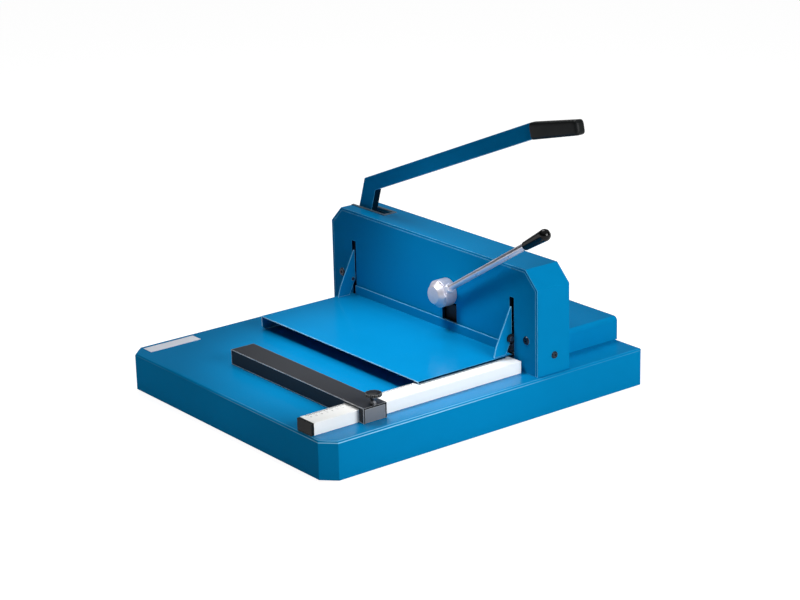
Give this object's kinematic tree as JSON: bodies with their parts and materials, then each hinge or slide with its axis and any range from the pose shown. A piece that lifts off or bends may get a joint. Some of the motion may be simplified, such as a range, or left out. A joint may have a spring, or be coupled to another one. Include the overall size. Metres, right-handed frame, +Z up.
{
  "type": "stack cutter",
  "caption": "Desk stack cutter: a guillotine gate with a lever-driven blade, a clamp worked by its own lever, a hinged guard, and a stop bar that slides on a side ruler.",
  "frame": {"origin": "middle of the base, on the surface that the feet stand on", "axes": "+X along the gate toward the ruler, +Y from the stop bar to the rear hood, +Z up"},
  "size_m": [0.6201, 0.65, 0.4971],
  "materials": {
    "blue_paint": "semi-gloss blue paint",
    "grey_paint": "matt grey paint",
    "black_paint": "satin black coat",
    "bare_steel": "machined",
    "ground_steel": "ground and oiled",
    "blade_steel": "ground, with a bevelled edge",
    "dark_screw": "blackened",
    "chrome": "polished",
    "cast_aluminium": "cast and turned",
    "drawn_aluminium": "drawn",
    "plate_aluminium": "satin",
    "ruler_white": "white coat with grey ticks",
    "bronze": "sintered",
    "black_plastic": "satin black",
    "gloss_black": "polished black",
    "grey_plastic": "satin grey",
    "white_plastic": "plain",
    "trim_plastic": "dull grey-brown",
    "foot_rubber": "matt"
  },
  "bodies": {
    "frame": {"base_tray": "blue_paint", "base_floor": "grey_paint", "feet": "foot_rubber", "bed_beam": "bare_steel", "cutting_stick": "white_plastic", "gate_bolts": "ground_steel", "blank_plate": "plate_aluminium", "gate_front_plate": "blue_paint", "gate_rear_plate": "blue_paint", "gate_cover": "blue_paint", "gate_columns": "bare_steel", "plate_screws": "dark_screw", "end_bolts": "dark_screw", "slot_trim": "trim_plastic", "pivot_block": "bare_steel", "lever_shaft": "ground_steel", "shaft_ring": "bare_steel", "carrier_rollers": "ground_steel", "guide_strips": "bronze", "rod_guides": "bronze", "clamp_bush": "bronze", "guard_lugs": "bare_steel", "guard_pins": "chrome", "ruler_bar": "ruler_white", "ruler_cap": "black_plastic", "ruler_screws": "ground_steel", "rear_hood": "blue_paint", "hood_screws": "dark_screw"},
    "cutting_lever": {"lever_bar": "blue_paint", "lever_bush": "bronze", "lever_grip": "black_plastic", "crank_pin": "ground_steel"},
    "knife": {"blade_carrier": "bare_steel", "blade": "blade_steel", "blade_screws": "dark_screw"},
    "clamp_beam": {"clamp_bar": "drawn_aluminium", "clamp_pad": "foot_rubber", "clamp_rack": "bare_steel", "clamp_rods": "ground_steel"},
    "clamp_lever": {"clamp_shaft": "ground_steel", "clamp_pinion": "bare_steel", "clamp_hub": "cast_aluminium", "rod_nut": "chrome", "clamp_rod": "chrome", "clamp_grip": "gloss_black"},
    "guard": {"guard_plate": "blue_paint", "guard_wings": "blue_paint"},
    "stop": {"stop_bar": "black_paint", "stop_caps": "grey_plastic", "stop_shoe": "white_plastic", "stop_block": "bare_steel"},
    "knob": {"lock_knob": "black_plastic"}
  },
  "joints": [
    {"name": "lever_swing", "type": "hinge", "parent": "frame", "child": "cutting_lever", "pos_m": [-0.232, 0.138, 0.186], "axis": [0, 1, 0], "range_deg": [-45, 21]},
    {"name": "blade_slide", "type": "slide", "parent": "frame", "child": "knife", "axis": [0.4226, 0, -0.9063], "range_m": [-0.0385, 0.018]},
    {"name": "clamp_swing", "type": "hinge", "parent": "frame", "child": "clamp_lever", "pos_m": [0.0505, 0.09, 0.16], "axis": [0, -1, 0], "range_deg": [0, 106]},
    {"name": "clamp_slide", "type": "slide", "parent": "frame", "child": "clamp_beam", "axis": [0, 0, -1], "range_m": [0, 0.0371]},
    {"name": "guard_lift", "type": "hinge", "parent": "frame", "child": "guard", "pos_m": [0, 0.096, 0.1205], "axis": [-1, 0, 0], "range_deg": [0, 60]},
    {"name": "stop_slide", "type": "slide", "parent": "frame", "child": "stop", "axis": [0, 1, 0], "range_m": [-0.08, 0.09]},
    {"name": "knob_turn", "type": "hinge", "parent": "stop", "child": "knob", "pos_m": [0.2479, -0.20875, 0.1], "axis": [0, 0, 1], "range_deg": [-90, 90]}
  ],
  "couplings": [
    {"joint": "blade_slide", "follows": "lever_swing", "m_per_rad": 0.04888},
    {"joint": "clamp_slide", "follows": "clamp_swing", "m_per_rad": 0.02}
  ]
}
